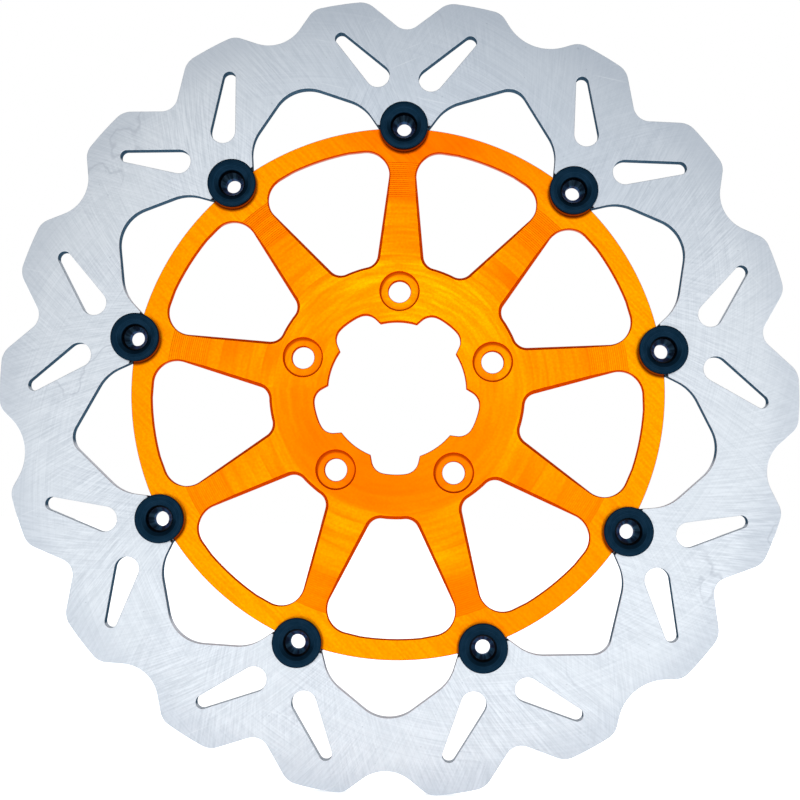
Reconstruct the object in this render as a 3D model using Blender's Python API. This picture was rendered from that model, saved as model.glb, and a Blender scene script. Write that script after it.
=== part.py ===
"""Floating front brake disc rotor for a motorcycle.

Every piece is drawn in plan: X to the right, Y up, and Z towards the side that faces away from the
wheel. The empty disc_frame then stands the whole disc upright, so that it spins about the world's
Y axis with its outer face towards -Y. All sizes are in metres and all angles in degrees, measured
clockwise from straight up.
"""

import math

import bmesh
import bpy
from mathutils import Vector

# Driving dimensions
DISC_RADIUS = 0.14605
BUTTON_COUNT = 9
BOLT_COUNT = 5
BUTTON_PITCH = 360 / BUTTON_COUNT
BOLT_PITCH = 360 / BOLT_COUNT
CLEARANCE = 0.0003
CHORD_ERROR = 0.0001

# Heights along the disc's axis, from its back to its front
BUTTON_FRONT = 0.0055
FLANGE_UNDERSIDE = 0.0036
RING_FRONT = FLANGE_UNDERSIDE - CLEARANCE
RING_THICKNESS = 0.0045
HUB_FRONT = RING_FRONT
RIM_FRONT = 0.0018
CARRIER_BACK = -0.0014
BUTTON_BACK = -BUTTON_FRONT

# Waved outer edge of the brake ring
NARROW_VALLEY_APEX = 0.1332
NARROW_VALLEY_SLOPE = 38.4
NARROW_VALLEY_ROUND = 0.0061
NARROW_LOBE_ROUND = 0.0076
BROAD_VALLEY_APEX = 0.1333
BROAD_VALLEY_SLOPE = 37.1
BROAD_VALLEY_ROUND = 0.014
BROAD_LOBE_ROUND = 0.0068

# Teardrop slots, each from its wide end near the ears to its narrow end near the edge
SLOTS = (
    {"wide_at": (0.1177, -5.05), "wide": 0.0045, "narrow_at": (0.1332, -10.5), "narrow": 0.0023},
    {"wide_at": (0.1164, 4.73), "wide": 0.0046, "narrow_at": (0.1325, 10.35), "narrow": 0.0024},
)

# Ears and scallops along the ring's inner edge
EAR_END_RADIUS = 0.098
EAR_HALF_ANGLE = 5.4
SCALLOP_SIDE = (0.1071, 8.2)
SCALLOP_SIDE_ROUND = 0.0155
SCALLOP_APEX = 0.1217
SCALLOP_APEX_ROUND = 0.0140

# Every third scallop goes deeper to a tighter apex, and the broad valley outside it is shallower
DEEP_EVERY = 3
DEEP_SCALLOP_ROUND = 0.0070
SHALLOW_VALLEY_ROUND = 0.0179

# Drive buttons and their seats
BUTTON_CIRCLE_RADIUS = 0.0981
FLANGE_RADIUS = 0.0089
FLANGE_CHAMFER = 0.0003
SHANK_RADIUS = 0.0065
SEAT_RADIUS = SHANK_RADIUS + CLEARANCE
DISH_OUTER_RADIUS = 0.0064
DISH_INNER_RADIUS = 0.0048
DISH_DEPTH = 0.0011
POCKET_RADIUS = 0.0041
POCKET_FLOOR = 0.0025
BUTTON_BORE_RADIUS = 0.0027
BUTTON_BORE_TOP = -0.0003
BUTTON_BORE_FOOT = -0.0040
BACK_SINK_RADIUS = 0.0040
TAIL_CHAMFER = 0.0004
GROOVE_DEPTH = 0.0009

# Washers and retaining ring behind each button
WASHER_BORE = SHANK_RADIUS + CLEARANCE
WASHER_RADIUS = 0.0095
WAVE_METAL = 0.0004
WAVE_HEIGHT = 0.0003
WAVE_COUNT = 3
FLAT_WASHER_METAL = 0.0007
CIRCLIP_METAL = 0.0008
CIRCLIP_RADIUS = 0.0079
CIRCLIP_GAP = 50
TURNED_SIDES = 16
WAVE_SIDES = 18

# Carrier
CARRIER_RADIUS = 0.0977
BLANK_BORE = 0.022
HUB_FLAT_RADIUS = 0.045
SPOKE_KNEE_RADIUS = 0.071
SPOKE_KNEE_HEIGHT = 0.0029
RIM_FLAT_RADIUS = 0.085
BOSS_TOP_RADIUS = 0.0083
BOSS_FOOT_RADIUS = 0.0092
WINDOW_OUTER_RADIUS = 0.0903
WINDOW_INNER_RADIUS = 0.0470
WINDOW_OUTER_ROUND = 0.0086
WINDOW_INNER_ROUND = 0.0050
SPOKE_HALF_WIDTH = 0.0050
SPOKE_WIDTH_RADIUS = 0.080
SPOKE_TAPER = 0.1135
EDGE_SLOPE_FOOT = 0.0013
EDGE_SLOPE = 30
BORE_RADIUS = 0.0254
BORE_LAND_HALF_ANGLE = 15.2
RELIEF_RADIUS = 0.03075
RELIEF_CORNER_ANGLE = 21.4
RELIEF_ROUND = 0.0053
BOLT_CIRCLE_RADIUS = 0.03653
BOLT_HOLE_RADIUS = 0.0041
COUNTERBORE_RADIUS = 0.0072
COUNTERBORE_DEPTH = 0.0012

# How far a cutter runs past the metal it cuts
CUTTER_MARGIN = 0.001

# Where the points of a long arc sit between the rounded corners at its two ends, as shares of it
LOBE_SHARES = (0.3, 0.5, 0.7)
LONG_ARC_SHARES = (0.35, 0.5, 0.65)


def polar(radius, angle):
    """The plan point at this radius and this angle."""
    return Vector((math.sin(math.radians(angle)), math.cos(math.radians(angle)))) * radius


def turned(point, angle):
    """A plan point turned clockwise about the disc's centre."""
    c = math.cos(math.radians(angle))
    s = math.sin(math.radians(angle))
    return Vector((point[0] * c + point[1] * s, point[1] * c - point[0] * s))


def mirrored(point, axis_angle):
    """A plan point mirrored in the line from the centre at this angle."""
    local = turned(point, -axis_angle)
    return turned((-local[0], local[1]), axis_angle)


def plan_angle(point):
    """The angle of a plan point."""
    return math.degrees(math.atan2(point[0], point[1]))


def points_between(radius, start, end, shares):
    """Points about the disc's centre at these shares of the way from one angle to the other."""
    return [polar(radius, start + (end - start) * share) for share in shares]


def where_line_meets_circle(start, direction, radius):
    """The point where a line that leaves start crosses a circle about the centre."""
    along = start.dot(direction)
    reach = math.sqrt(along * along - start.dot(start) + radius * radius) - along
    return start + direction * reach


def step_angle(radius):
    """The largest angle between points on an arc that keeps within the chord error."""
    return 2 * math.degrees(math.acos(1 - CHORD_ERROR / radius))


def arc(centre, radius, start, end):
    """Points on an arc, both ends included."""
    count = max(2, math.ceil(abs(end - start) / step_angle(radius)))
    return [centre + polar(radius, start + (end - start) * i / count) for i in range(count + 1)]


def rounded(corners):
    """The closed outline through corners, each given as a point and the radius that rounds it."""
    outline = []
    for i, (corner, radius) in enumerate(corners):
        if radius == 0:
            outline.append(corner)
            continue
        to_last = (corners[i - 1][0] - corner).normalized()
        to_next = (corners[(i + 1) % len(corners)][0] - corner).normalized()
        half = to_last.angle(to_next) / 2
        centre = corner + (to_last + to_next).normalized() * radius / math.sin(half)
        start = corner + to_last * radius / math.tan(half) - centre
        end = corner + to_next * radius / math.tan(half) - centre
        sweep = math.degrees(start.angle_signed(end))
        first = plan_angle(start)
        outline += arc(centre, radius, first, first + sweep)
    return outline


def deep_or_plain(deep, plain):
    """A value for each sector of the ring: the deep one in every third, and else the plain one."""
    return [plain if k % DEEP_EVERY else deep for k in range(BUTTON_COUNT)]


def ring_outer_sector(valley_round):
    """The waved edge from one button to the next: a narrow valley, two lobes and a broad valley."""
    broad_axis = BUTTON_PITCH / 2
    narrow = Vector((0, NARROW_VALLEY_APEX))
    narrow_side = polar(1, 90 - NARROW_VALLEY_SLOPE)
    narrow_lobe = where_line_meets_circle(narrow, narrow_side, DISC_RADIUS)
    broad = polar(BROAD_VALLEY_APEX, broad_axis)
    broad_side = polar(1, broad_axis - 90 + BROAD_VALLEY_SLOPE)
    broad_lobe = where_line_meets_circle(broad, broad_side, DISC_RADIUS)
    lobe = points_between(DISC_RADIUS, plan_angle(narrow_lobe), plan_angle(broad_lobe), LOBE_SHARES)
    half = [(narrow_lobe, NARROW_LOBE_ROUND)]
    half += [(point, 0) for point in lobe]
    half += [(broad_lobe, BROAD_LOBE_ROUND)]
    sector = [(narrow, NARROW_VALLEY_ROUND)] + half + [(broad, valley_round)]
    sector += [(mirrored(point, broad_axis), radius) for point, radius in reversed(half)]
    return sector


def ring_outer_edge():
    """One turn of the waved edge."""
    rounds = deep_or_plain(SHALLOW_VALLEY_ROUND, BROAD_VALLEY_ROUND)
    return all_round([ring_outer_sector(valley_round) for valley_round in rounds])


def all_round(sectors):
    """The rounded outline of each sector's corners in turn round the centre."""
    corners = []
    for k, sector in enumerate(sectors):
        corners += [(turned(point, k * 360 / len(sectors)), radius) for point, radius in sector]
    return rounded(corners)


def ring_inner_sector(apex_round):
    """The inner edge from one button to the next: an ear with its half-round seat, and a scallop."""
    broad_axis = BUTTON_PITCH / 2
    reach = EAR_END_RADIUS**2 - BUTTON_CIRCLE_RADIUS**2 - SEAT_RADIUS**2
    seat_angle = math.degrees(math.acos(reach / (2 * BUTTON_CIRCLE_RADIUS * SEAT_RADIUS)))
    seat_centre = Vector((0, BUTTON_CIRCLE_RADIUS))
    seat = [(point, 0) for point in arc(seat_centre, SEAT_RADIUS, -seat_angle, seat_angle)]
    side = [(polar(EAR_END_RADIUS, EAR_HALF_ANGLE), 0), (polar(*SCALLOP_SIDE), SCALLOP_SIDE_ROUND)]
    sector = seat + side + [(polar(SCALLOP_APEX, broad_axis), apex_round)]
    sector += [(mirrored(point, broad_axis), radius) for point, radius in reversed(side)]
    return sector


def ring_inner_edge():
    """One turn of ears and scallops."""
    rounds = deep_or_plain(DEEP_SCALLOP_ROUND, SCALLOP_APEX_ROUND)
    return all_round([ring_inner_sector(apex_round) for apex_round in rounds])


def slot_outline(slot, angle):
    """A teardrop: two round ends joined by the lines that touch both."""
    wide_at = turned(polar(*slot["wide_at"]), angle)
    narrow_at = turned(polar(*slot["narrow_at"]), angle)
    run = narrow_at - wide_at
    heading = plan_angle(run)
    lean = math.degrees(math.acos((slot["wide"] - slot["narrow"]) / run.length))
    narrow_end = arc(narrow_at, slot["narrow"], heading - lean, heading + lean)
    wide_end = arc(wide_at, slot["wide"], heading + lean, heading + 360 - lean)
    return narrow_end + wide_end


def window_outline():
    """The carrier window beside spoke 1: two spoke sides, an outer arc and an inner arc."""
    middle = BUTTON_PITCH / 2
    side_foot = Vector((SPOKE_HALF_WIDTH + SPOKE_TAPER * SPOKE_WIDTH_RADIUS, 0))
    side = Vector((-SPOKE_TAPER, 1)).normalized()
    low = where_line_meets_circle(side_foot, side, WINDOW_INNER_RADIUS)
    high = where_line_meets_circle(side_foot, side, WINDOW_OUTER_RADIUS)
    far_low = mirrored(low, middle)
    far_high = mirrored(high, middle)
    outer = points_between(WINDOW_OUTER_RADIUS, plan_angle(high), plan_angle(far_high), LONG_ARC_SHARES)
    inner = points_between(WINDOW_INNER_RADIUS, plan_angle(far_low), plan_angle(low), LONG_ARC_SHARES)
    corners = [(low, WINDOW_INNER_ROUND), (high, WINDOW_OUTER_ROUND)]
    corners += [(point, 0) for point in outer]
    corners += [(far_high, WINDOW_OUTER_ROUND), (far_low, WINDOW_INNER_ROUND)]
    corners += [(point, 0) for point in inner]
    return rounded(corners)


def bore_outline():
    """The central bore: one land behind each bolt hole and a relief between each two."""
    middle = BOLT_PITCH / 2
    land = arc(Vector((0, 0)), BORE_RADIUS, -BORE_LAND_HALF_ANGLE, BORE_LAND_HALF_ANGLE)
    relief_corner = polar(RELIEF_RADIUS, RELIEF_CORNER_ANGLE)
    relief_end = BOLT_PITCH - RELIEF_CORNER_ANGLE
    relief = points_between(RELIEF_RADIUS, RELIEF_CORNER_ANGLE, relief_end, LONG_ARC_SHARES)
    sector = [(point, 0) for point in land]
    sector += [(relief_corner, RELIEF_ROUND)]
    sector += [(point, 0) for point in relief]
    sector += [(mirrored(relief_corner, middle), RELIEF_ROUND)]
    return all_round([sector] * BOLT_COUNT)


def metal(name, colour, metallic, roughness):
    """A plain Principled material."""
    material = bpy.data.materials.new(name)
    material.use_nodes = True
    shader = material.node_tree.nodes["Principled BSDF"]
    shader.inputs["Base Color"].default_value = (*colour, 1)
    shader.inputs["Metallic"].default_value = metallic
    shader.inputs["Roughness"].default_value = roughness
    return material


def place(name, data, parent, material=None):
    """A named object under its parent."""
    piece = bpy.data.objects.new(name, data)
    bpy.context.scene.collection.objects.link(piece)
    piece.parent = parent
    if material and not data.materials:
        data.materials.append(material)
    return piece


def flat_plate(name, outlines, front, back, parent, material):
    """A plate of even thickness, cut from the first outline and pierced by the others."""
    curve = bpy.data.curves.new(name, "CURVE")
    curve.dimensions = "2D"
    curve.fill_mode = "BOTH"
    curve.extrude = (front - back) / 2
    for outline in outlines:
        spline = curve.splines.new("POLY")
        spline.points.add(len(outline) - 1)
        for point, corner in zip(spline.points, outline):
            point.co = (corner.x, corner.y, 0, 1)
        spline.use_cyclic_u = True
    plate = place(name, curve, parent, material)
    plate.location.z = (front + back) / 2
    return plate


def stacked_mesh(name, stacks):
    """A mesh of closed solids, each a stack of outlines (bottom to top) given as points and height."""
    mesh = bpy.data.meshes.new(name)
    bm = bmesh.new()
    for stack in stacks:
        loops = [[bm.verts.new((p[0], p[1], height)) for p in outline] for outline, height in stack]
        for lower, upper in zip(loops, loops[1:]):
            for i in range(len(lower)):
                bm.faces.new((lower[i - 1], lower[i], upper[i], upper[i - 1]))
        bm.faces.new(loops[0])
        bm.faces.new(loops[-1])
    bmesh.ops.recalc_face_normals(bm, faces=bm.faces)
    bm.to_mesh(mesh)
    bm.free()
    return mesh


def turned_mesh(name, profile, sides, centres=((0, 0),), first_side=0.0):
    """Turned solids about each centre, from a closed profile of radius and height pairs.

    first_side turns the flat sides by a share of one side, so that they don't line up with those
    of another turned mesh that the solid meets in a Boolean.
    """
    mesh = bpy.data.meshes.new(name)
    bm = bmesh.new()
    for centre in centres:
        rings = []
        for radius, height in profile:
            if radius == 0:
                rings.append([bm.verts.new((*centre, height))] * sides)
                continue
            spots = [Vector(centre) + polar(radius, 360 * (i + first_side) / sides) for i in range(sides)]
            rings.append([bm.verts.new((*spot, height)) for spot in spots])
        for lower, upper in zip(rings, rings[1:] + rings[:1]):
            for i in range(sides):
                corners = dict.fromkeys((lower[i - 1], lower[i], upper[i], upper[i - 1]))
                if len(corners) > 2:
                    bm.faces.new(corners)
    bmesh.ops.recalc_face_normals(bm, faces=bm.faces)
    bm.to_mesh(mesh)
    bm.free()
    shade_round(mesh)
    return mesh


def shade_round(mesh):
    """Smooth round faces and keep true edges sharp."""
    mesh.shade_smooth()
    mesh.set_sharp_from_angle(angle=math.radians(30))


def sides_for(radius):
    """The number of flat sides that keeps a circle of this radius within the chord error."""
    return math.ceil(360 / step_angle(radius))


def combine(piece, tool_mesh, parent, operation):
    """Add a mesh to a piece or cut it out. The tool object stays out of the finished part."""
    tool = place(tool_mesh.name, tool_mesh, parent)
    tool.hide_render = True
    tool.display_type = "WIRE"
    modifier = piece.modifiers.new(tool_mesh.name, "BOOLEAN")
    modifier.operation = operation
    modifier.solver = "EXACT"
    modifier.object = tool


def brake_ring(parent, material):
    """The steel friction ring."""
    outlines = [ring_outer_edge(), ring_inner_edge()]
    for k in range(BUTTON_COUNT):
        outlines += [slot_outline(slot, k * BUTTON_PITCH) for slot in SLOTS]
    back = RING_FRONT - RING_THICKNESS
    return flat_plate("brake_ring", outlines, RING_FRONT, back, parent, material)


def carrier_blank():
    """The turned blank: it thins in two stages from the thick hub to the thin rim."""
    profile = (
        (BLANK_BORE, CARRIER_BACK),
        (CARRIER_RADIUS + CUTTER_MARGIN, CARRIER_BACK),
        (CARRIER_RADIUS + CUTTER_MARGIN, RIM_FRONT),
        (RIM_FLAT_RADIUS, RIM_FRONT),
        (SPOKE_KNEE_RADIUS, SPOKE_KNEE_HEIGHT),
        (HUB_FLAT_RADIUS, HUB_FRONT),
        (BLANK_BORE, HUB_FRONT),
    )
    return turned_mesh("carrier", profile, sides_for(CARRIER_RADIUS), first_side=0.5)


def bosses():
    """The raised bosses that bring the thin rim up to the flange of each button."""
    profile = (
        (0, RIM_FRONT - CUTTER_MARGIN),
        (BOSS_FOOT_RADIUS + CUTTER_MARGIN, RIM_FRONT - CUTTER_MARGIN),
        (BOSS_TOP_RADIUS, RIM_FRONT + BOSS_FOOT_RADIUS - BOSS_TOP_RADIUS),
        (BOSS_TOP_RADIUS, HUB_FRONT),
        (0, HUB_FRONT),
    )
    return turned_mesh("bosses", profile, sides_for(BOSS_TOP_RADIUS), button_centres(), 0.3)


def rim_cutter():
    """What is turned off outside the carrier's edge, which trims the bosses too."""
    profile = (
        (CARRIER_RADIUS, CARRIER_BACK - CUTTER_MARGIN),
        (BUTTON_CIRCLE_RADIUS + 2 * BOSS_FOOT_RADIUS, CARRIER_BACK - CUTTER_MARGIN),
        (BUTTON_CIRCLE_RADIUS + 2 * BOSS_FOOT_RADIUS, HUB_FRONT + CUTTER_MARGIN),
        (CARRIER_RADIUS, HUB_FRONT + CUTTER_MARGIN),
    )
    return turned_mesh("rim_cutter", profile, sides_for(CARRIER_RADIUS))


def window_cutter():
    """The windows: straight walls up to the foot of the edge slope, which then opens outwards."""
    top = HUB_FRONT + CUTTER_MARGIN
    growth = (top - EDGE_SLOPE_FOOT) * math.tan(math.radians(EDGE_SLOPE))
    stacks = []
    for k in range(BUTTON_COUNT):
        straight = [turned(point, k * BUTTON_PITCH) for point in window_outline()]
        opened = [turned(point, k * BUTTON_PITCH) for point in grown_window(growth)]
        stacks.append(
            [
                (straight, CARRIER_BACK - CUTTER_MARGIN),
                (straight, EDGE_SLOPE_FOOT),
                (opened, top),
            ]
        )
    return stacked_mesh("window_cutter", stacks)


def grown_window(growth):
    """The window outline with each of its points moved straight out by growth."""
    plain = window_outline()
    grown = []
    for i, point in enumerate(plain):
        along = plain[(i + 1) % len(plain)] - plain[i - 1]
        outward = Vector((-along.y, along.x)).normalized()
        grown.append(point + outward * growth)
    return grown


def bore_cutter():
    """The central bore, right through the hub."""
    outline = bore_outline()
    ends = (CARRIER_BACK - CUTTER_MARGIN, HUB_FRONT + CUTTER_MARGIN)
    return stacked_mesh("bore_cutter", [[(outline, height) for height in ends]])


def bolt_cutter():
    """The counterbored bolt holes."""
    floor = HUB_FRONT - COUNTERBORE_DEPTH
    profile = (
        (0, CARRIER_BACK - CUTTER_MARGIN),
        (BOLT_HOLE_RADIUS, CARRIER_BACK - CUTTER_MARGIN),
        (BOLT_HOLE_RADIUS, floor),
        (COUNTERBORE_RADIUS, floor),
        (COUNTERBORE_RADIUS, HUB_FRONT + CUTTER_MARGIN),
        (0, HUB_FRONT + CUTTER_MARGIN),
    )
    centres = [polar(BOLT_CIRCLE_RADIUS, k * BOLT_PITCH) for k in range(BOLT_COUNT)]
    return turned_mesh("bolt_cutter", profile, sides_for(COUNTERBORE_RADIUS), centres)


def seat_cutter():
    """The half-round button seats in the carrier's rim."""
    profile = (
        (0, CARRIER_BACK - CUTTER_MARGIN),
        (SEAT_RADIUS, CARRIER_BACK - CUTTER_MARGIN),
        (SEAT_RADIUS, HUB_FRONT + CUTTER_MARGIN),
        (0, HUB_FRONT + CUTTER_MARGIN),
    )
    return turned_mesh("seat_cutter", profile, sides_for(SEAT_RADIUS), button_centres())


def carrier(parent, material):
    """The aluminium carrier: a turned blank with bosses, its edge and its openings cut."""
    piece = place("carrier", carrier_blank(), parent, material)
    combine(piece, bosses(), parent, "UNION")
    for cutter in (rim_cutter(), window_cutter(), bore_cutter(), bolt_cutter(), seat_cutter()):
        combine(piece, cutter, parent, "DIFFERENCE")
    return piece


def button_centres():
    """The plan centres of the buttons."""
    return [polar(BUTTON_CIRCLE_RADIUS, k * BUTTON_PITCH) for k in range(BUTTON_COUNT)]


def bobbin_mesh(groove_front, groove_back):
    """The drive button: a dished flange, a shank and a grooved tail with a bore right through."""
    flange_edge = BUTTON_FRONT - FLANGE_CHAMFER
    groove_radius = SHANK_RADIUS - GROOVE_DEPTH
    profile = (
        (DISH_OUTER_RADIUS, BUTTON_FRONT),
        (FLANGE_RADIUS - FLANGE_CHAMFER, BUTTON_FRONT),
        (FLANGE_RADIUS, flange_edge),
        (FLANGE_RADIUS, FLANGE_UNDERSIDE),
        (SHANK_RADIUS, FLANGE_UNDERSIDE),
        (SHANK_RADIUS, groove_front),
        (groove_radius, groove_front),
        (groove_radius, groove_back),
        (SHANK_RADIUS, groove_back),
        (SHANK_RADIUS, BUTTON_BACK + TAIL_CHAMFER),
        (SHANK_RADIUS - TAIL_CHAMFER, BUTTON_BACK),
        (BACK_SINK_RADIUS, BUTTON_BACK),
        (BUTTON_BORE_RADIUS, BUTTON_BORE_FOOT),
        (BUTTON_BORE_RADIUS, BUTTON_BORE_TOP),
        (POCKET_RADIUS, POCKET_FLOOR),
        (DISH_INNER_RADIUS, BUTTON_FRONT - DISH_DEPTH),
    )
    return turned_mesh("bobbin", profile, TURNED_SIDES)


def wave_washer_mesh(back):
    """The sprung washer, a flat ring bent into even waves."""
    mesh = bpy.data.meshes.new("wave_washer")
    bm = bmesh.new()
    rings = []
    for i in range(WAVE_SIDES):
        angle = 360 * i / WAVE_SIDES
        lift = WAVE_HEIGHT * (1 + math.cos(math.radians(WAVE_COUNT * angle))) / 2
        inner = polar(WASHER_BORE, angle)
        outer = polar(WASHER_RADIUS, angle)
        low = back + lift
        high = low + WAVE_METAL
        section = ((*inner, low), (*outer, low), (*outer, high), (*inner, high))
        rings.append([bm.verts.new(corner) for corner in section])
    for i in range(WAVE_SIDES):
        for j in range(4):
            bm.faces.new((rings[i - 1][j - 1], rings[i - 1][j], rings[i][j], rings[i][j - 1]))
    bmesh.ops.recalc_face_normals(bm, faces=bm.faces)
    bm.to_mesh(mesh)
    bm.free()
    shade_round(mesh)
    return mesh


def flat_washer_mesh(front):
    """The plain washer between the sprung washer and the circlip."""
    back = front - FLAT_WASHER_METAL
    profile = (
        (WASHER_BORE, back),
        (WASHER_RADIUS, back),
        (WASHER_RADIUS, front),
        (WASHER_BORE, front),
    )
    return turned_mesh("flat_washer", profile, TURNED_SIDES)


def circlip_mesh(front):
    """The retaining ring, open on one side so that it can be sprung over the tail."""
    inner_radius = SHANK_RADIUS - GROOVE_DEPTH + CLEARANCE
    centre = Vector((0, 0))
    start = 180 + CIRCLIP_GAP / 2
    end = 540 - CIRCLIP_GAP / 2
    outline = arc(centre, CIRCLIP_RADIUS, start, end) + arc(centre, inner_radius, end, start)
    return stacked_mesh("circlip", [[(outline, front - CIRCLIP_METAL), (outline, front)]])


def buttons(parent, black, steel, spring_steel):
    """Every drive button with its washers and circlip, each set on an empty on its own axis."""
    wave_front = CARRIER_BACK - CLEARANCE
    wave_back = wave_front - WAVE_METAL - WAVE_HEIGHT
    flat_front = wave_back - CLEARANCE
    groove_front = flat_front - FLAT_WASHER_METAL
    clip_front = groove_front - CLEARANCE
    groove_back = clip_front - CIRCLIP_METAL - CLEARANCE
    meshes = (
        ("bobbin", bobbin_mesh(groove_front, groove_back), black),
        ("wave_washer", wave_washer_mesh(wave_back), spring_steel),
        ("flat_washer", flat_washer_mesh(flat_front), steel),
        ("circlip", circlip_mesh(clip_front), spring_steel),
    )
    for k, centre in enumerate(button_centres()):
        axis = place(f"button_axis_{k + 1}", None, parent)
        axis.location = (*centre, 0)
        axis.rotation_euler.z = -math.radians(k * BUTTON_PITCH)
        for name, mesh, material in meshes:
            place(f"{name}_{k + 1}", mesh, axis, material)


def build():
    """The whole disc."""
    for item in list(bpy.data.objects):
        bpy.data.objects.remove(item)
    disc_frame = place("disc_frame", None, None)
    disc_frame.rotation_euler.x = math.radians(90)
    anodised_orange = metal("anodised_orange", (1.0, 0.30, 0.0), 0.9, 0.38)
    anodised_black = metal("anodised_black", (0.006, 0.020, 0.038), 0.6, 0.40)
    brushed_steel = metal("brushed_steel", (0.62, 0.67, 0.73), 1.0, 0.34)
    washer_steel = metal("washer_steel", (0.55, 0.56, 0.57), 1.0, 0.30)
    spring_steel = metal("spring_steel", (0.16, 0.16, 0.17), 1.0, 0.42)
    carrier(disc_frame, anodised_orange)
    brake_ring(disc_frame, brushed_steel)
    buttons(disc_frame, anodised_black, washer_steel, spring_steel)


build()
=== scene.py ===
"""The looks of the floating brake disc: fine meshes, metal finishes, light and camera.

Every piece is drawn in plan, X to the right, Y up and Z towards the disc's outer face, and its
object is then turned upright, so that a material's object coordinates are plan coordinates, about
the piece's own axis where it has one of its own. All sizes are in metres and all angles in degrees,
measured clockwise from straight up, unless a comment says otherwise.
"""

import math

import bmesh
import bpy
from mathutils import Matrix, Vector
from mathutils.geometry import tessellate_polygon


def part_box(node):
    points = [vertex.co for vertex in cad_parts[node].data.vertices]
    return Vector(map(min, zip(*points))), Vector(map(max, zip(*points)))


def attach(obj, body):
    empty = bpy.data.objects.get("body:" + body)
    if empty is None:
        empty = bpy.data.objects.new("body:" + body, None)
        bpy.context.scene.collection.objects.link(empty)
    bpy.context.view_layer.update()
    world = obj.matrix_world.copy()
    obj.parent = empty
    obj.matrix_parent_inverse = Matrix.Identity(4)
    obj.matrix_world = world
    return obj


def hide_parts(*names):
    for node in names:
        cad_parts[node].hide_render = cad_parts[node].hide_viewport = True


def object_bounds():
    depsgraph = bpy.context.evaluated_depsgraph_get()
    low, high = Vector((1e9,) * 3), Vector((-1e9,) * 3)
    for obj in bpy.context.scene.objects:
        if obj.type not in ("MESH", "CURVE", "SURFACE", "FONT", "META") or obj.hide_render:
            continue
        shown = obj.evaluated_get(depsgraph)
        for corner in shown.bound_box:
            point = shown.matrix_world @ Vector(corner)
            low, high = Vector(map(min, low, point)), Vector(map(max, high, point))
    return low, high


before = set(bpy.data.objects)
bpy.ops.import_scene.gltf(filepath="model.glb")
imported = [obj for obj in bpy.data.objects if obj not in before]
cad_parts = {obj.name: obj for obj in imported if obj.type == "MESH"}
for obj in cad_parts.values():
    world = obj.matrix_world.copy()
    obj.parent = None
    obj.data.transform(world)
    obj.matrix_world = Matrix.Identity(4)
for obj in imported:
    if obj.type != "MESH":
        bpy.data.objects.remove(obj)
cad_low, cad_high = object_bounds()

# What the frame says: heights along the disc's axis, and the place of the first button
ring_low, ring_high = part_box("brake_ring")
carrier_low, carrier_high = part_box("carrier")
bobbin_low, bobbin_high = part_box("bobbin_1")
wave_low, wave_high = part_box("wave_washer_1")
flat_low, flat_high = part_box("flat_washer_1")
clip_low, clip_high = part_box("circlip_1")
RING_FRONT = -ring_low.y
RING_BACK = -ring_high.y
HUB_FRONT = -carrier_low.y
CARRIER_BACK = -carrier_high.y
BUTTON_FRONT = -bobbin_low.y
BUTTON_BACK = -bobbin_high.y
BUTTON_CIRCLE = (bobbin_low.z + bobbin_high.z) / 2
BUTTON_COUNT = sum(name.startswith("bobbin_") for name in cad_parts)
BUTTON_PITCH = 360 / BUTTON_COUNT
BOLT_COUNT = 5
BOLT_PITCH = 360 / BOLT_COUNT
CLEARANCE = 0.0003
CHORD_ERROR = 0.000006

# Edges sharper than this stay sharp, and faces tipped less than this have the look of a face
SHARP_EDGE_ANGLE = 30
STEP_EDGE_ANGLE = 12
RING_FACE_TIP = 50
CARRIER_FACE_TIP = 40

# Waved outer edge of the brake ring. The finer arcs keep inside the model's box by this much.
ARC_BULGE = 0.00008
DISC_RADIUS = ring_high.x - ARC_BULGE
NARROW_VALLEY_APEX = 0.1332
NARROW_VALLEY_SLOPE = 38.4
NARROW_VALLEY_ROUND = 0.0061
NARROW_LOBE_ROUND = 0.0076
BROAD_VALLEY_APEX = 0.1333
BROAD_VALLEY_SLOPE = 37.1
BROAD_VALLEY_ROUND = 0.014
BROAD_LOBE_ROUND = 0.0068
RING_BEVEL = 0.00012

# Teardrop slots, each from its wide end near the ears to its narrow end near the edge
SLOTS = (
    {"wide_at": (0.1177, -5.05), "wide": 0.0045, "narrow_at": (0.1332, -10.5), "narrow": 0.0023},
    {"wide_at": (0.1164, 4.73), "wide": 0.0046, "narrow_at": (0.1325, 10.35), "narrow": 0.0024},
)

# Ears and scallops along the ring's inner edge
EAR_END_RADIUS = 0.098
EAR_HALF_ANGLE = 5.4
SCALLOP_SIDE = (0.1071, 8.2)
SCALLOP_SIDE_ROUND = 0.0155
SCALLOP_APEX = 0.1217
SCALLOP_APEX_ROUND = 0.0140

# Every third scallop goes deeper to a tighter apex, and the broad valley outside it is shallower
DEEP_EVERY = 3
DEEP_SCALLOP_ROUND = 0.0070
SHALLOW_VALLEY_ROUND = 0.0179

# Drive buttons and their seats
FLANGE_UNDERSIDE = RING_FRONT + CLEARANCE
FLANGE_RADIUS = (bobbin_high.z - bobbin_low.z) / 2
SHANK_RADIUS = 0.0065
SEAT_RADIUS = SHANK_RADIUS + CLEARANCE
DISH_OUTER_RADIUS = 0.0064
DISH_INNER_RADIUS = 0.0048
DISH_DEPTH = 0.0011
POCKET_RADIUS = 0.0041
POCKET_FLOOR = 0.0025
BUTTON_BORE = 0.0027
BUTTON_BORE_TOP = -0.0003
BUTTON_BORE_FOOT = -0.0040
BACK_SINK_RADIUS = 0.0040
GROOVE_DEPTH = 0.0009
TAIL_ROUND = 0.0004
FLANGE_FRONT_ROUND = 0.0003
FLANGE_BACK_ROUND = 0.0002
DISH_EDGE_ROUND = 0.00025
DISH_ROUND = 0.0003
BACK_SINK_ROUND = 0.0002

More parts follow.
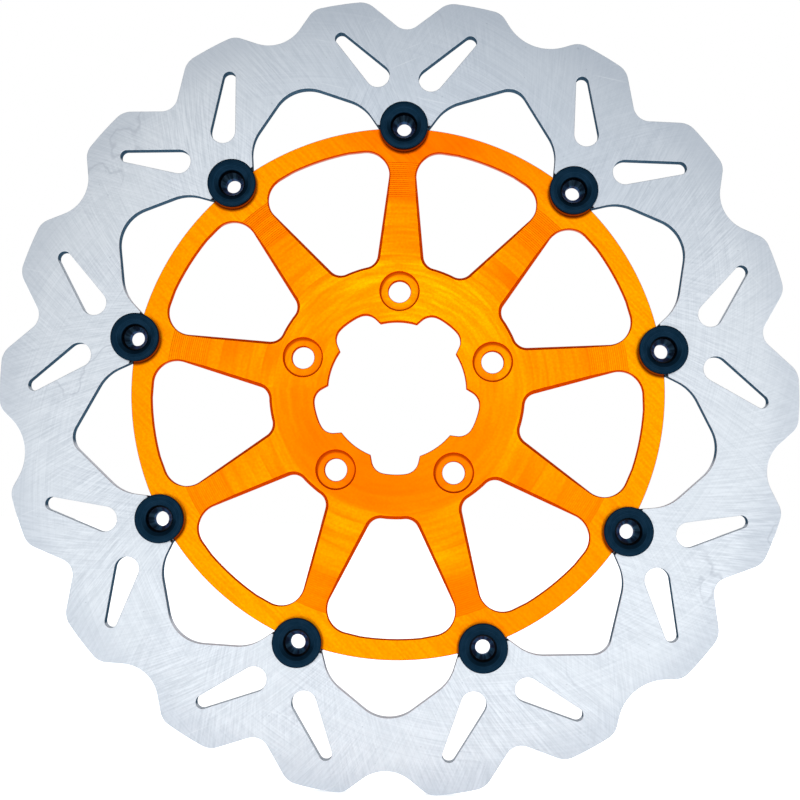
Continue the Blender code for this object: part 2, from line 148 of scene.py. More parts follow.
# Washers and retaining rings
WASHER_RADIUS = 0.0095
WASHER_ROUND = 0.00015
WAVE_METAL = 0.0004
WAVE_COUNT = 3
WAVE_SIDES = 90
CIRCLIP_RADIUS = 0.0079
CIRCLIP_GAP = 50
CIRCLIP_BEVEL = 0.00008
LUG_RADIUS = 0.0013
LUG_HOLE_RADIUS = 0.0006
LUG_STAND_OUT = 0.0002

# Carrier
CARRIER_RADIUS = 0.0977
BLANK_BORE = 0.022
RIM_FRONT = 0.0018
HUB_FLAT_RADIUS = 0.045
KNEE_HEIGHT = 0.0029
RIDGE_PITCH = 0.000762
RIDGE_COUNT = 18
RIDGE_SLOPE_SHARE = 0.30
RIM_FLAT_RADIUS = 0.0849
KNEE_RADIUS = RIM_FLAT_RADIUS - RIDGE_COUNT * RIDGE_PITCH
TERRACE_COUNT = 5
TERRACE_SLOPE_SHARE = 0.14
BOSS_TOP_RADIUS = 0.0083
BOSS_FOOT_RADIUS = 0.0092
WINDOW_OUTER = 0.0903
WINDOW_INNER = 0.0470
WINDOW_OUTER_ROUND = 0.0086
WINDOW_INNER_ROUND = 0.0050
SPOKE_HALF_WIDTH = 0.0050
SPOKE_WIDTH_RADIUS = 0.080
SPOKE_TAPER = 0.1135
EDGE_SLOPE_FOOT = 0.0013
EDGE_SLOPE = 30
BACK_CHAMFER = 0.0002
RIM_CHAMFER = 0.0002
BORE_RADIUS = 0.0254
BORE_CHAMFER = 0.0003
BORE_LAND_HALF_ANGLE = 15.2
RELIEF_RADIUS = 0.03075
RELIEF_CORNER_ANGLE = 21.4
RELIEF_ROUND = 0.0053
BOLT_CIRCLE = 0.03653
BOLT_HOLE_RADIUS = 0.0041
COUNTERBORE_RADIUS = 0.0072
COUNTERBORE_DEPTH = 0.0012
COUNTERBORE_FILLET = 0.0007
BOLT_CHAMFER = 0.00025
CUTTER_MARGIN = 0.001

# Where the points of a long arc sit between the rounded corners at its two ends, as shares of it
LOBE_SHARES = (0.3, 0.4, 0.5, 0.6, 0.7)
LONG_ARC_SHARES = (0.3, 0.35, 0.4, 0.45, 0.5, 0.55, 0.6, 0.65, 0.7)


# ---- Plan geometry ----


def polar(radius, angle):
    """The plan point at this radius and this angle."""
    return Vector((math.sin(math.radians(angle)), math.cos(math.radians(angle)))) * radius


def turned(point, angle):
    """A plan point turned clockwise about the disc's centre."""
    c = math.cos(math.radians(angle))
    s = math.sin(math.radians(angle))
    return Vector((point[0] * c + point[1] * s, point[1] * c - point[0] * s))


def mirrored(point, axis_angle):
    """A plan point mirrored in the line from the centre at this angle."""
    local = turned(point, -axis_angle)
    return turned((-local[0], local[1]), axis_angle)


def plan_angle(point):
    """The angle of a plan point."""
    return math.degrees(math.atan2(point[0], point[1]))


def points_between(radius, start, end, shares):
    """Points about the disc's centre at these shares of the way from one angle to the other."""
    return [polar(radius, start + (end - start) * share) for share in shares]


def where_line_meets_circle(start, direction, radius):
    """The point where a line that leaves start crosses a circle about the centre."""
    along = start.dot(direction)
    reach = math.sqrt(along * along - start.dot(start) + radius * radius) - along
    return start + direction * reach


def step_angle(radius):
    """The largest angle between points on an arc that keeps within the chord error."""
    return 2 * math.degrees(math.acos(1 - CHORD_ERROR / radius))


def arc(centre, radius, start, end):
    """Points on an arc, both ends included."""
    count = max(2, math.ceil(abs(end - start) / step_angle(radius)))
    return [centre + polar(radius, start + (end - start) * i / count) for i in range(count + 1)]


def rounded(corners):
    """The closed outline through corners, each given as a point and the radius that rounds it."""
    outline = []
    for i, (corner, radius) in enumerate(corners):
        if radius == 0:
            outline.append(corner)
            continue
        to_last = (corners[i - 1][0] - corner).normalized()
        to_next = (corners[(i + 1) % len(corners)][0] - corner).normalized()
        half = to_last.angle(to_next) / 2
        centre = corner + (to_last + to_next).normalized() * radius / math.sin(half)
        start = corner + to_last * radius / math.tan(half) - centre
        end = corner + to_next * radius / math.tan(half) - centre
        sweep = math.degrees(start.angle_signed(end))
        first = plan_angle(start)
        outline += arc(centre, radius, first, first + sweep)
    return outline


def all_round(sectors):
    """The rounded outline of each sector's corners in turn round the centre."""
    corners = []
    for k, sector in enumerate(sectors):
        corners += [(turned(point, k * 360 / len(sectors)), radius) for point, radius in sector]
    return rounded(corners)


def moved_out(outline, distance):
    """The outline with each of its points moved straight out from what it encloses."""
    area = sum(a.x * b.y - b.x * a.y for a, b in zip(outline, outline[1:] + outline[:1]))
    side = math.copysign(1, area) * distance
    moved = []
    for i, point in enumerate(outline):
        along = (outline[(i + 1) % len(outline)] - outline[i - 1]).normalized()
        moved.append(point + Vector((along.y, -along.x)) * side)
    return moved


def ring_edge(sector, deep, plain):
    """One turn of an edge of the ring, from a sector's corners at the deep and the plain rounds."""
    return all_round([sector(plain if k % DEEP_EVERY else deep) for k in range(BUTTON_COUNT)])


def ring_outer_sector(valley_round):
    """The waved edge from one button to the next: a narrow valley, two lobes and a broad valley."""
    broad_axis = BUTTON_PITCH / 2
    narrow = Vector((0, NARROW_VALLEY_APEX))
    narrow_side = polar(1, 90 - NARROW_VALLEY_SLOPE)
    narrow_lobe = where_line_meets_circle(narrow, narrow_side, DISC_RADIUS)
    broad = polar(BROAD_VALLEY_APEX, broad_axis)
    broad_side = polar(1, broad_axis - 90 + BROAD_VALLEY_SLOPE)
    broad_lobe = where_line_meets_circle(broad, broad_side, DISC_RADIUS)
    lobe = points_between(DISC_RADIUS, plan_angle(narrow_lobe), plan_angle(broad_lobe), LOBE_SHARES)
    half = [(narrow_lobe, NARROW_LOBE_ROUND)]
    half += [(point, 0) for point in lobe]
    half += [(broad_lobe, BROAD_LOBE_ROUND)]
    sector = [(narrow, NARROW_VALLEY_ROUND)] + half + [(broad, valley_round)]
    sector += [(mirrored(point, broad_axis), radius) for point, radius in reversed(half)]
    return sector


def ring_inner_sector(apex_round):
    """The inner edge from one button to the next: an ear with its half-round seat, and a scallop."""
    broad_axis = BUTTON_PITCH / 2
    reach = EAR_END_RADIUS**2 - BUTTON_CIRCLE**2 - SEAT_RADIUS**2
    seat_angle = math.degrees(math.acos(reach / (2 * BUTTON_CIRCLE * SEAT_RADIUS)))
    seat_centre = Vector((0, BUTTON_CIRCLE))
    seat = [(point, 0) for point in arc(seat_centre, SEAT_RADIUS, -seat_angle, seat_angle)]
    side = [(polar(EAR_END_RADIUS, EAR_HALF_ANGLE), 0), (polar(*SCALLOP_SIDE), SCALLOP_SIDE_ROUND)]
    sector = seat + side + [(polar(SCALLOP_APEX, broad_axis), apex_round)]
    sector += [(mirrored(point, broad_axis), radius) for point, radius in reversed(side)]
    return sector


def slot_outline(slot, angle):
    """A teardrop: two round ends joined by the lines that touch both."""
    wide_at = turned(polar(*slot["wide_at"]), angle)
    narrow_at = turned(polar(*slot["narrow_at"]), angle)
    run = narrow_at - wide_at
    heading = plan_angle(run)
    lean = math.degrees(math.acos((slot["wide"] - slot["narrow"]) / run.length))
    narrow_end = arc(narrow_at, slot["narrow"], heading - lean, heading + lean)
    wide_end = arc(wide_at, slot["wide"], heading + lean, heading + 360 - lean)
    return narrow_end + wide_end


def window_outline():
    """The carrier window beside spoke 1: two spoke sides, an outer arc and an inner arc."""
    middle = BUTTON_PITCH / 2
    side_foot = Vector((SPOKE_HALF_WIDTH + SPOKE_TAPER * SPOKE_WIDTH_RADIUS, 0))
    side = Vector((-SPOKE_TAPER, 1)).normalized()
    low = where_line_meets_circle(side_foot, side, WINDOW_INNER)
    high = where_line_meets_circle(side_foot, side, WINDOW_OUTER)
    far_low = mirrored(low, middle)
    far_high = mirrored(high, middle)
    outer = points_between(WINDOW_OUTER, plan_angle(high), plan_angle(far_high), LONG_ARC_SHARES)
    inner = points_between(WINDOW_INNER, plan_angle(far_low), plan_angle(low), LONG_ARC_SHARES)
    corners = [(low, WINDOW_INNER_ROUND), (high, WINDOW_OUTER_ROUND)]
    corners += [(point, 0) for point in outer]
    corners += [(far_high, WINDOW_OUTER_ROUND), (far_low, WINDOW_INNER_ROUND)]
    corners += [(point, 0) for point in inner]
    return rounded(corners)


def bore_outline():
    """The central bore: one land behind each bolt hole and a relief between each two."""
    middle = BOLT_PITCH / 2
    land = arc(Vector((0, 0)), BORE_RADIUS, -BORE_LAND_HALF_ANGLE, BORE_LAND_HALF_ANGLE)
    relief_corner = polar(RELIEF_RADIUS, RELIEF_CORNER_ANGLE)
    relief_end = BOLT_PITCH - RELIEF_CORNER_ANGLE
    relief = points_between(RELIEF_RADIUS, RELIEF_CORNER_ANGLE, relief_end, LONG_ARC_SHARES)
    sector = [(point, 0) for point in land]
    sector += [(relief_corner, RELIEF_ROUND)]
    sector += [(point, 0) for point in relief]
    sector += [(mirrored(relief_corner, middle), RELIEF_ROUND)]
    return all_round([sector] * BOLT_COUNT)


# ---- Meshes ----


def add_object(name, data):
    """A new object in the scene."""
    item = bpy.data.objects.new(name, data)
    bpy.context.scene.collection.objects.link(item)
    return item


def finished_mesh(name, bm):
    """A bmesh made into a mesh with its faces pointing out, smooth but for its true edges."""
    bmesh.ops.recalc_face_normals(bm, faces=bm.faces)
    mesh = bpy.data.meshes.new(name)
    bm.to_mesh(mesh)
    bm.free()
    mesh.shade_smooth()
    mesh.set_sharp_from_angle(angle=math.radians(SHARP_EDGE_ANGLE))
    return mesh


def join_loops(bm, loops):
    """Side faces between each loop of vertices and the next."""
    for lower, upper in zip(loops, loops[1:]):
        for i in range(len(lower)):
            bm.faces.new((lower[i - 1], lower[i], upper[i], upper[i - 1]))


def bevelled_layers(bevel, back, front):
    """The layers of a plate with a bevel along its back and its front edges."""
    return ((bevel, back), (0, back + bevel), (0, front - bevel), (bevel, front))


def plate_mesh(name, outlines, layers):
    """A plate from an outer outline and its holes, with bevelled edges.

    Each layer, from the back to the front, gives how far its edges stand in from the outlines and
    its height.
    """
    bm = bmesh.new()
    back_loops = []
    front_loops = []
    for index, outline in enumerate(outlines):
        into_metal = -1 if index == 0 else 1
        loops = []
        for inset, height in layers:
            loop = moved_out(outline, into_metal * inset) if inset else outline
            loops.append([bm.verts.new((*point, height)) for point in loop])
        join_loops(bm, loops)
        back_loops.append(loops[0])
        front_loops.append(loops[-1])
    for loops in (back_loops, front_loops):
        corners = [vertex for loop in loops for vertex in loop]
        for triangle in tessellate_polygon([[vertex.co for vertex in loop] for loop in loops]):
            bm.faces.new([corners[i] for i in triangle])
    return finished_mesh(name, bm)


def stacked_mesh(name, stacks):
    """Closed solids, each a stack of outlines (bottom to top) given as points and height."""
    bm = bmesh.new()
    for stack in stacks:
        loops = [[bm.verts.new((*point, height)) for point in outline] for outline, height in stack]
        join_loops(bm, loops)
        bm.faces.new(loops[0])
        bm.faces.new(loops[-1])
    return finished_mesh(name, bm)


def turned_mesh(name, profile, sides, centres=((0, 0),), first_side=0.0):
    """Turned solids about each centre, from a closed profile of radius and height pairs.

    first_side turns the flat sides by a share of one side, so that they don't line up with those
    of another turned mesh that the solid meets in a Boolean.
    """
    bm = bmesh.new()
    for centre in centres:
        rings = []
        for radius, height in profile:
            if radius == 0:
                rings.append([bm.verts.new((*centre, height))] * sides)
                continue
            angles = [360 * (i + first_side) / sides for i in range(sides)]
            spots = [Vector(centre) + polar(radius, angle) for angle in angles]
            rings.append([bm.verts.new((*spot, height)) for spot in spots])
        for lower, upper in zip(rings, rings[1:] + rings[:1]):
            for i in range(sides):
                corners = dict.fromkeys((lower[i - 1], lower[i], upper[i], upper[i - 1]))
                if len(corners) > 2:
                    bm.faces.new(corners)
    return finished_mesh(name, bm)


def sides_for(radius):
    """The number of flat sides that keeps a circle of this radius within the chord error."""
    return math.ceil(360 / step_angle(radius))


def combined(blank, steps):
    """The blank mesh after each step, a Boolean operation and the mesh it adds or takes away."""
    piece = add_object(blank.name, blank)
    tools = []
    for operation, mesh in steps:
        tools.append(add_object(mesh.name, mesh))
        modifier = piece.modifiers.new(mesh.name, "BOOLEAN")
        modifier.operation = operation
        modifier.solver = "EXACT"
        modifier.object = tools[-1]
    evaluated = piece.evaluated_get(bpy.context.evaluated_depsgraph_get())
    result = bpy.data.meshes.new_from_object(evaluated)
    for item in [piece, *tools]:
        bpy.data.objects.remove(item)
    result.shade_smooth()
    result.set_sharp_from_angle(angle=math.radians(STEP_EDGE_ANGLE))
    return result


def paint(mesh, face_material, wall_material, steepest_face):
    """The wall material on every face that is tipped more than this from the front or the back."""
    mesh.materials.clear()
    mesh.materials.append(face_material)
    mesh.materials.append(wall_material)
    limit = math.cos(math.radians(steepest_face))
    for polygon in mesh.polygons:
        polygon.material_index = 0 if abs(polygon.normal.z) > limit else 1


def stand_up(name, mesh, body, node, place=Matrix.Identity(4)):
    """The finished piece, turned from plan to upright, riding on its body in its node's stead."""
    piece = add_object(name, mesh)
    piece.matrix_world = Matrix.Rotation(math.radians(90), 4, "X") @ place
    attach(piece, body)
    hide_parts(node)


# ---- Materials ----


def add(tree, kind, inputs=None, **settings):
    """A shader node with its settings, and its inputs either linked or set."""
    item = tree.nodes.new(kind)
    for key, value in settings.items():
        setattr(item, key, value)
    for key, value in (inputs or {}).items():
        if isinstance(value, bpy.types.NodeSocket):
            tree.links.new(value, item.inputs[key])
        else:
            item.inputs[key].default_value = value
    return item


def tree_of(*values):
    """The node tree of the sockets among these values."""
    return next(value.id_data for value in values if isinstance(value, bpy.types.NodeSocket))


def maths(operation, *values):
    """The result of a math node."""
    inputs = dict(enumerate(values))
    return add(tree_of(*values), "ShaderNodeMath", inputs, operation=operation).outputs[0]


def plus(first, second):
    """The sum of two values."""
    return maths("ADD", first, second)


def minus(first, second):
    """The first value less the second."""
    return maths("SUBTRACT", first, second)


def times(first, second):
    """The product of two values."""
    return maths("MULTIPLY", first, second)


def over(first, second):
    """The first value divided by the second."""
    return maths("DIVIDE", first, second)


def mapped(value, low, high, to_low=0.0, to_high=1.0):
    """A value mapped from one range to another, smoothly and held at its ends."""
    inputs = {"Value": value, "From Min": low, "From Max": high, "To Min": to_low, "To Max": to_high}
    item = add(tree_of(value), "ShaderNodeMapRange", inputs, interpolation_type="SMOOTHSTEP")
    return item.outputs[0]


def mixed(share, first, second):
    """Two colours mixed by a share."""
    colours = [c if isinstance(c, bpy.types.NodeSocket) else (*c, 1) for c in (first, second)]
    inputs = {"Factor": share, 6: colours[0], 7: colours[1]}
    return add(tree_of(share), "ShaderNodeMix", inputs, data_type="RGBA").outputs[2]


def noise(x, y, rates, detail=2.0, roughness=0.5, distortion=0.0, z=0.0):
    """Noise over two coordinates, each times its rate: the higher the rate, the finer the noise."""
    tree = tree_of(x)
    place = {"X": times(x, rates[0]), "Y": times(y, rates[1]), "Z": z}
    inputs = {
        "Vector": add(tree, "ShaderNodeCombineXYZ", place).outputs[0],
        "Scale": 1.0,
        "Detail": detail,
        "Roughness": roughness,
        "Distortion": distortion,
    }
    return add(tree, "ShaderNodeTexNoise", inputs, noise_dimensions="3D").outputs[0]


def plan_place(tree):
    """The plan coordinates of the shaded point: X, Y and height."""
    coordinates = add(tree, "ShaderNodeTexCoord").outputs["Object"]
    return add(tree, "ShaderNodeSeparateXYZ", {"Vector": coordinates}).outputs


def upward(tree):
    """How far the surface faces up the plan, from -1 to 1."""
    normal = add(tree, "ShaderNodeTexCoord").outputs["Normal"]
    return add(tree, "ShaderNodeSeparateXYZ", {"Vector": normal}).outputs["Y"]


def polar_place(x, y):
    """The distance of a point from the origin, and its direction in radians from +X towards +Y."""
    squares = plus(maths("POWER", x, 2.0), maths("POWER", y, 2.0))
    return maths("SQRT", squares), maths("ARCTAN2", y, x)


def repeated_place(radius, direction, pitch, circle_radius):
    """The place across and up from the nearest of a circle's equal places, and its direction."""
    top = 90 / pitch + 0.5
    turns = over(direction, math.radians(pitch))
    share = maths("FRACT", plus(turns, 360 / pitch + 1 - top % 1))
    local = times(minus(share, 0.5), math.radians(pitch))
    across = times(radius, maths("SINE", local))
    up = minus(times(radius, maths("COSINE", local)), circle_radius)
    return across, up, minus(direction, local)


def principled(name, constants):
    """A new Principled material with these constants, and its tree."""
    material = bpy.data.materials.new(name)
    material.use_nodes = True
    shader = material.node_tree.nodes["Principled BSDF"]
    for key, value in constants.items():
        shader.inputs[key].default_value = value
    return material, material.node_tree


def finish_metal(material, colour, roughness, relief, relief_height, relief_strength):
    """The material, with its colour, its roughness and a fine relief linked to its shader."""
    tree = material.node_tree
    inputs = {"Height": relief, "Distance": relief_height, "Strength": relief_strength}
    bump = add(tree, "ShaderNodeBump", inputs)
    shader = tree.nodes["Principled BSDF"]
    tree.links.new(colour, shader.inputs["Base Color"])
    tree.links.new(roughness, shader.inputs["Roughness"])
    tree.links.new(bump.outputs[0], shader.inputs["Normal"])
    return material


# Painted sheen and shade round a turned or ground face: waves per turn, size, and the angle of a peak
STEEL_SHADE_WAVE = ((1, 1.0, 16.0),)
RIM_SHEEN = ((1, 0.11, 191.6), (2, 0.16, 75.3), (3, 0.15, -41.0))
RIDGE_SHEEN = ((2, 0.20, 88.0),)
HUB_SHEEN = ((1, 0.23, 25.0),)


def sheen(direction, waves):
    """The sum of a few waves round the disc, for painted sheen and shade."""
    total = 0.0
    for count, size, peak in waves:
        # direction runs anticlockwise from +X, and peak clockwise from +Y
        phase = math.radians(count * (90 - peak))
        wave = maths("COSINE", minus(times(direction, count), phase))
        total = plus(total, times(wave, size))
    return total


# Painted shadow round the buttons, in the gaps by the ring's ear ends and under the flanges on the
# carrier: the distances from a button's axis where it is still whole and where it ends, and how far
# it hangs down the carrier
EAR_GAP_SHADOW = (FLANGE_RADIUS + 0.0011, FLANGE_RADIUS + 0.0015)
BOSS_SHADOW = (FLANGE_RADIUS - 0.0002, FLANGE_RADIUS + 0.0011)
BOSS_SHADOW_DROP = 0.0007


def button_shade(radius, direction, shadow_span, drop=0.0):
    """How much painted shadow round the buttons there is: 1 where it is whole, fading to 0."""
    across, up, outward = repeated_place(radius, direction, BUTTON_PITCH, BUTTON_CIRCLE)
    if drop:
        across = plus(across, times(maths("COSINE", outward), drop))
        up = plus(up, times(maths("SINE", outward), drop))
    distance, _ = polar_place(across, up)
    return mapped(distance, *shadow_span, 1.0, 0.0)


# The ring's ground faces
STEEL_DARK = (0.50, 0.55, 0.61)
STEEL_LIGHT = (0.72, 0.77, 0.83)
STEEL_CLOUD = (0.65, 0.70, 0.75)
STEEL_OUTER = (0.44, 0.49, 0.56)
STEEL_PAINTED_SHADE = (0.36, 0.42, 0.50)
STEEL_SCRATCH = (0.84, 0.88, 0.92)
STEEL_TIDE_MARK = (0.38, 0.42, 0.48)
STEEL_SPECK = (0.24, 0.28, 0.34)
STEEL_GAP_SHADOW = (0.01, 0.01, 0.015)
OUTER_START = 0.131
OUTER_END = 0.144
EAR_END_SHADOW = (EAR_END_RADIUS + 0.0007, EAR_END_RADIUS + 0.0012)

# The grinding lines: their lean from the radius, how strongly they show, and where they show;
# then how closely they lie, per radian, and how soon they change along their run, per metre
GRINDING_LEANS = ((20, 1.0, 0.0), (-31, 0.85, 5.0), (74, 0.45, 9.0))
GRINDING_LINES = 190
GRINDING_CHANGES = 110

# The scratches: the angle of their run from +X, and how closely they lie, per metre
SCRATCHES = ((-48, 760), (24, 820), (-12, 700))
SCRATCH_CHANGES = 30

# A tide mark follows this level of a noise, and fades out this far from it
TIDE_LEVEL = 0.52
TIDE_WIDTH = 0.006


def grinding_lines(radius, direction, lean):
    """Fine lines that cross every radius at the same lean."""
    wound = times(maths("LOGARITHM", radius, math.e), math.tan(math.radians(lean)))
    start = minus(direction, wound)
    fineness = GRINDING_LINES * math.cos(math.radians(lean))
    across = maths("COSINE", start)
    up = maths("SINE", start)
    along = times(radius, GRINDING_CHANGES)
    return noise(across, up, (fineness, fineness), 4.0, 0.65, z=along)


def scratches(x, y):
    """Sparse light scratches in three directions."""
    found = 0.0
    for angle, closeness in SCRATCHES:
        c = math.cos(math.radians(angle))
        s = math.sin(math.radians(angle))
        along = plus(times(x, c), times(y, s))
        across = minus(times(y, c), times(x, s))
        level = noise(along, across, (SCRATCH_CHANGES, closeness), 1.0, 0.4)
        found = maths("MAXIMUM", found, mapped(level, 0.72, 0.82, 0.0, 0.22))
    return found


def tide_marks(x, y):
    """Thin wandering lines where a film of water dried."""
    level = noise(x, y, (17, 13), 5.0, 0.45, 0.2)
    off = maths("ABSOLUTE", minus(level, TIDE_LEVEL))
    line = mapped(off, 0.0, TIDE_WIDTH, 0.45, 0.0)
    shown = noise(x, y, (21, 19), 1.0)
    return times(line, mapped(shown, 0.50, 0.62))


def specks(x, y):
    """Small dark specks, a little longer than they are wide."""
    dots = noise(x, y, (620, 780), 1.0, 0.3)
    return mapped(dots, 0.76, 0.84, 0.0, 0.35)


def ground_steel():
    """The ring's two ground faces: fine lines that cross, a few scratches, faint stains, painted shade
    towards the top and painted shadow by the ear ends.
    """
    material, tree = principled("ground_steel", {"Metallic": 1.0})
    x, y, _ = plan_place(tree)
    radius, direction = polar_place(x, y)
    grain = 0.0
    total = 0.0
    for lean, weight, seed in GRINDING_LEANS:
        lines = grinding_lines(radius, direction, lean)
        where = noise(x, y, (21, 21), 1.0, z=seed)
        share = times(mapped(where, 0.38, 0.62, 0.15, 1.0), weight)
        grain = plus(grain, times(lines, share))
        total = plus(total, share)
    grain = over(grain, total)
    cloud = noise(x, y, (26, 26), 3.0, 0.55, 0.6)
    outer = mapped(radius, OUTER_START, OUTER_END, 0.0, 0.42)
    # Painted shade, darkest a little right of the top of the ring
    painted_shade = mapped(sheen(direction, STEEL_SHADE_WAVE), 0.5, 1.0, 0.0, 0.45)
    # Painted shadow in the gaps beside the ear ends, next to each button
    beside_button = button_shade(radius, direction, EAR_GAP_SHADOW)
    at_ear_end = mapped(radius, *EAR_END_SHADOW, 1.0, 0.0)
    colour = mixed(mapped(grain, 0.34, 0.66), STEEL_DARK, STEEL_LIGHT)
    layers = (
        (mapped(cloud, 0.3, 0.7, 0.0, 0.45), STEEL_CLOUD),
        (outer, STEEL_OUTER),
        (painted_shade, STEEL_PAINTED_SHADE),
        (scratches(x, y), STEEL_SCRATCH),
        (tide_marks(x, y), STEEL_TIDE_MARK),
        (specks(x, y), STEEL_SPECK),
        (times(beside_button, at_ear_end), STEEL_GAP_SHADOW),
    )
    for share, tint in layers:
        colour = mixed(share, colour, tint)
    roughness = mapped(grain, 0.3, 0.7, 0.40, 0.30)
    return finish_metal(material, colour, roughness, grain, 0.00002, 0.35)


# The ring's cut walls
CUT_DARK = (0.026, 0.062, 0.105)
CUT_LIGHT = (0.056, 0.108, 0.160)
CUT_PAINTED_LIGHT = (0.72, 0.76, 0.82)


def cut_steel():
    """The ring's cut walls: dull and dark for painted shade, pale with painted light where they face
    up, with lines through them.
    """
    material, tree = principled("cut_steel", {"Specular IOR Level": 0.0})
    x, y, height = plan_place(tree)
    _, direction = polar_place(x, y)
    lines = noise(direction, height, (480, 260), 3.0, 0.6)
    colour = mixed(mapped(lines, 0.3, 0.7), CUT_DARK, CUT_LIGHT)
    # Painted light where the walls face up
    colour = mixed(mapped(upward(tree), 0.15, 0.60, 0.0, 0.85), colour, CUT_PAINTED_LIGHT)
    roughness = mapped(lines, 0.3, 0.7, 0.65, 0.5)
    return finish_metal(material, colour, roughness, lines, 0.00003, 0.4)


# The carrier's face colours, each from the radius where it starts: partly each zone's own tone,
# partly painted light and shade for how each milled zone's slopes catch the light
CARRIER_FACE = (
    (0.000, (1.0, 0.205, 0.0)),
    (0.0385, (1.0, 0.210, 0.0)),
    (0.0392, (1.0, 0.245, 0.0)),
    (0.0450, (1.0, 0.245, 0.0)),
    (0.0457, (1.0, 0.322, 0.0)),
    (0.0690, (1.0, 0.330, 0.0)),
    (0.0715, (1.0, 0.240, 0.0)),
    (0.0848, (1.0, 0.240, 0.0)),
    (0.0851, (1.0, 0.350, 0.0)),
)
RADIUS_SPAN = 0.1

# What the marks, the random tones and the painted sheen, shade and shadows tint those colours with
TONE_AND_SHEEN_YELLOW = (1.0, 0.46, 0.0)
TONE_AND_SHADE_RED = (1.0, 0.10, 0.0)
RIDGE_SLOPE_SHADE = (0.85, 0.11, 0.0)
TERRACE_SLOPE_SHADE = (1.0, 0.17, 0.0)
MARK_RED = (1.0, 0.15, 0.0)
CLOUD_YELLOW = (1.0, 0.33, 0.0)
GRAIN_AND_RECESS_SHADE_RED = (1.0, 0.14, 0.0)
COUNTERBORE_SHADOW_RED = (0.30, 0.02, 0.0)
BOSS_SHADOW_RED = (0.16, 0.011, 0.0)

# How far each side of its radius one milled zone's looks run into the next one's
RIM_BLEND = 0.0001
KNEE_BLEND = 0.0002
HUB_BLEND = (HUB_FLAT_RADIUS - 0.003, HUB_FLAT_RADIUS + 0.006)
HUB_MARKS_BLEND = (HUB_FLAT_RADIUS - 0.008, HUB_FLAT_RADIUS + 0.004)
TERRACE_PITCH = (KNEE_RADIUS - HUB_FLAT_RADIUS) / TERRACE_COUNT

# The painted shadow in a counterbore's corner: the lean of its widest side from the top, and its widths
CORNER_SHADOW_LEAN = 25
CORNER_SHADOW_LEAST = 0.0003
CORNER_SHADOW_MOST = 0.0013


def stair_shade(radius, start, end, pitch, slope_share):
    """1 on the slopes between the flat steps of a milled zone, and 0 elsewhere: where painted shade
    goes.
    """
    share = maths("FRACT", over(minus(radius, start), pitch))
    off = maths("ABSOLUTE", minus(share, 1 - slope_share / 2))
    on_slope = mapped(off, 0.0, slope_share, 1.0, 0.0)
    past_start = maths("GREATER_THAN", radius, start)
    before_end = maths("LESS_THAN", radius, end)
    return times(on_slope, times(past_start, before_end))


def counterbore_shade(radius, direction):
    """Painted shadow in the corner of each counterbore, widest on its upper side."""
    across, up, _ = repeated_place(radius, direction, BOLT_PITCH, BOLT_CIRCLE)
    distance, side = polar_place(across, up)
    # side runs clockwise here, from a quarter turn past the outward direction
    outward_turn = minus(math.radians(90 - CORNER_SHADOW_LEAN), side)
    upper = maths("SINE", plus(outward_turn, direction))
    width = mapped(upper, -0.4, 1.0, CORNER_SHADOW_LEAST, CORNER_SHADOW_MOST)
    share = over(minus(COUNTERBORE_RADIUS, distance), width)
    return mapped(share, 0.4, 1.2, 0.8, 0.0)


def counterbore_floor(height, on_hub):
    """1 on the floors of the counterbores and low on their walls, and 0 elsewhere: where painted shade
    darkens the recesses.
    """
    below_middle = minus(HUB_FRONT - COUNTERBORE_DEPTH / 2, height)
    under_edge = mapped(below_middle, -COUNTERBORE_DEPTH / 4, 0.0)
    over_back = mapped(below_middle, COUNTERBORE_DEPTH * 0.6, COUNTERBORE_DEPTH * 0.8, 1.0, 0.0)
    return times(times(under_edge, over_back), on_hub)


def tone_and_sheen_turn(radius, direction, on_rim, on_ridges, on_hub):
    """How far the colour turns up towards yellow and down towards red: a random tone for each terrace,
    and painted sheen and shade round each zone.
    """
    step = over(minus(radius, HUB_FLAT_RADIUS), TERRACE_PITCH)
    tint = noise(maths("FLOOR", step), direction, (3.7, 1.9), 0.0)
    past_hub = maths("GREATER_THAN", step, 0.0)
    before_knee = maths("LESS_THAN", step, TERRACE_COUNT)
    turn = times(minus(tint, 0.5), times(past_hub, before_knee))
    for zone, waves in ((on_rim, RIM_SHEEN), (on_ridges, RIDGE_SHEEN), (on_hub, HUB_SHEEN)):
        turn = plus(turn, times(sheen(direction, waves), zone))
    return turn


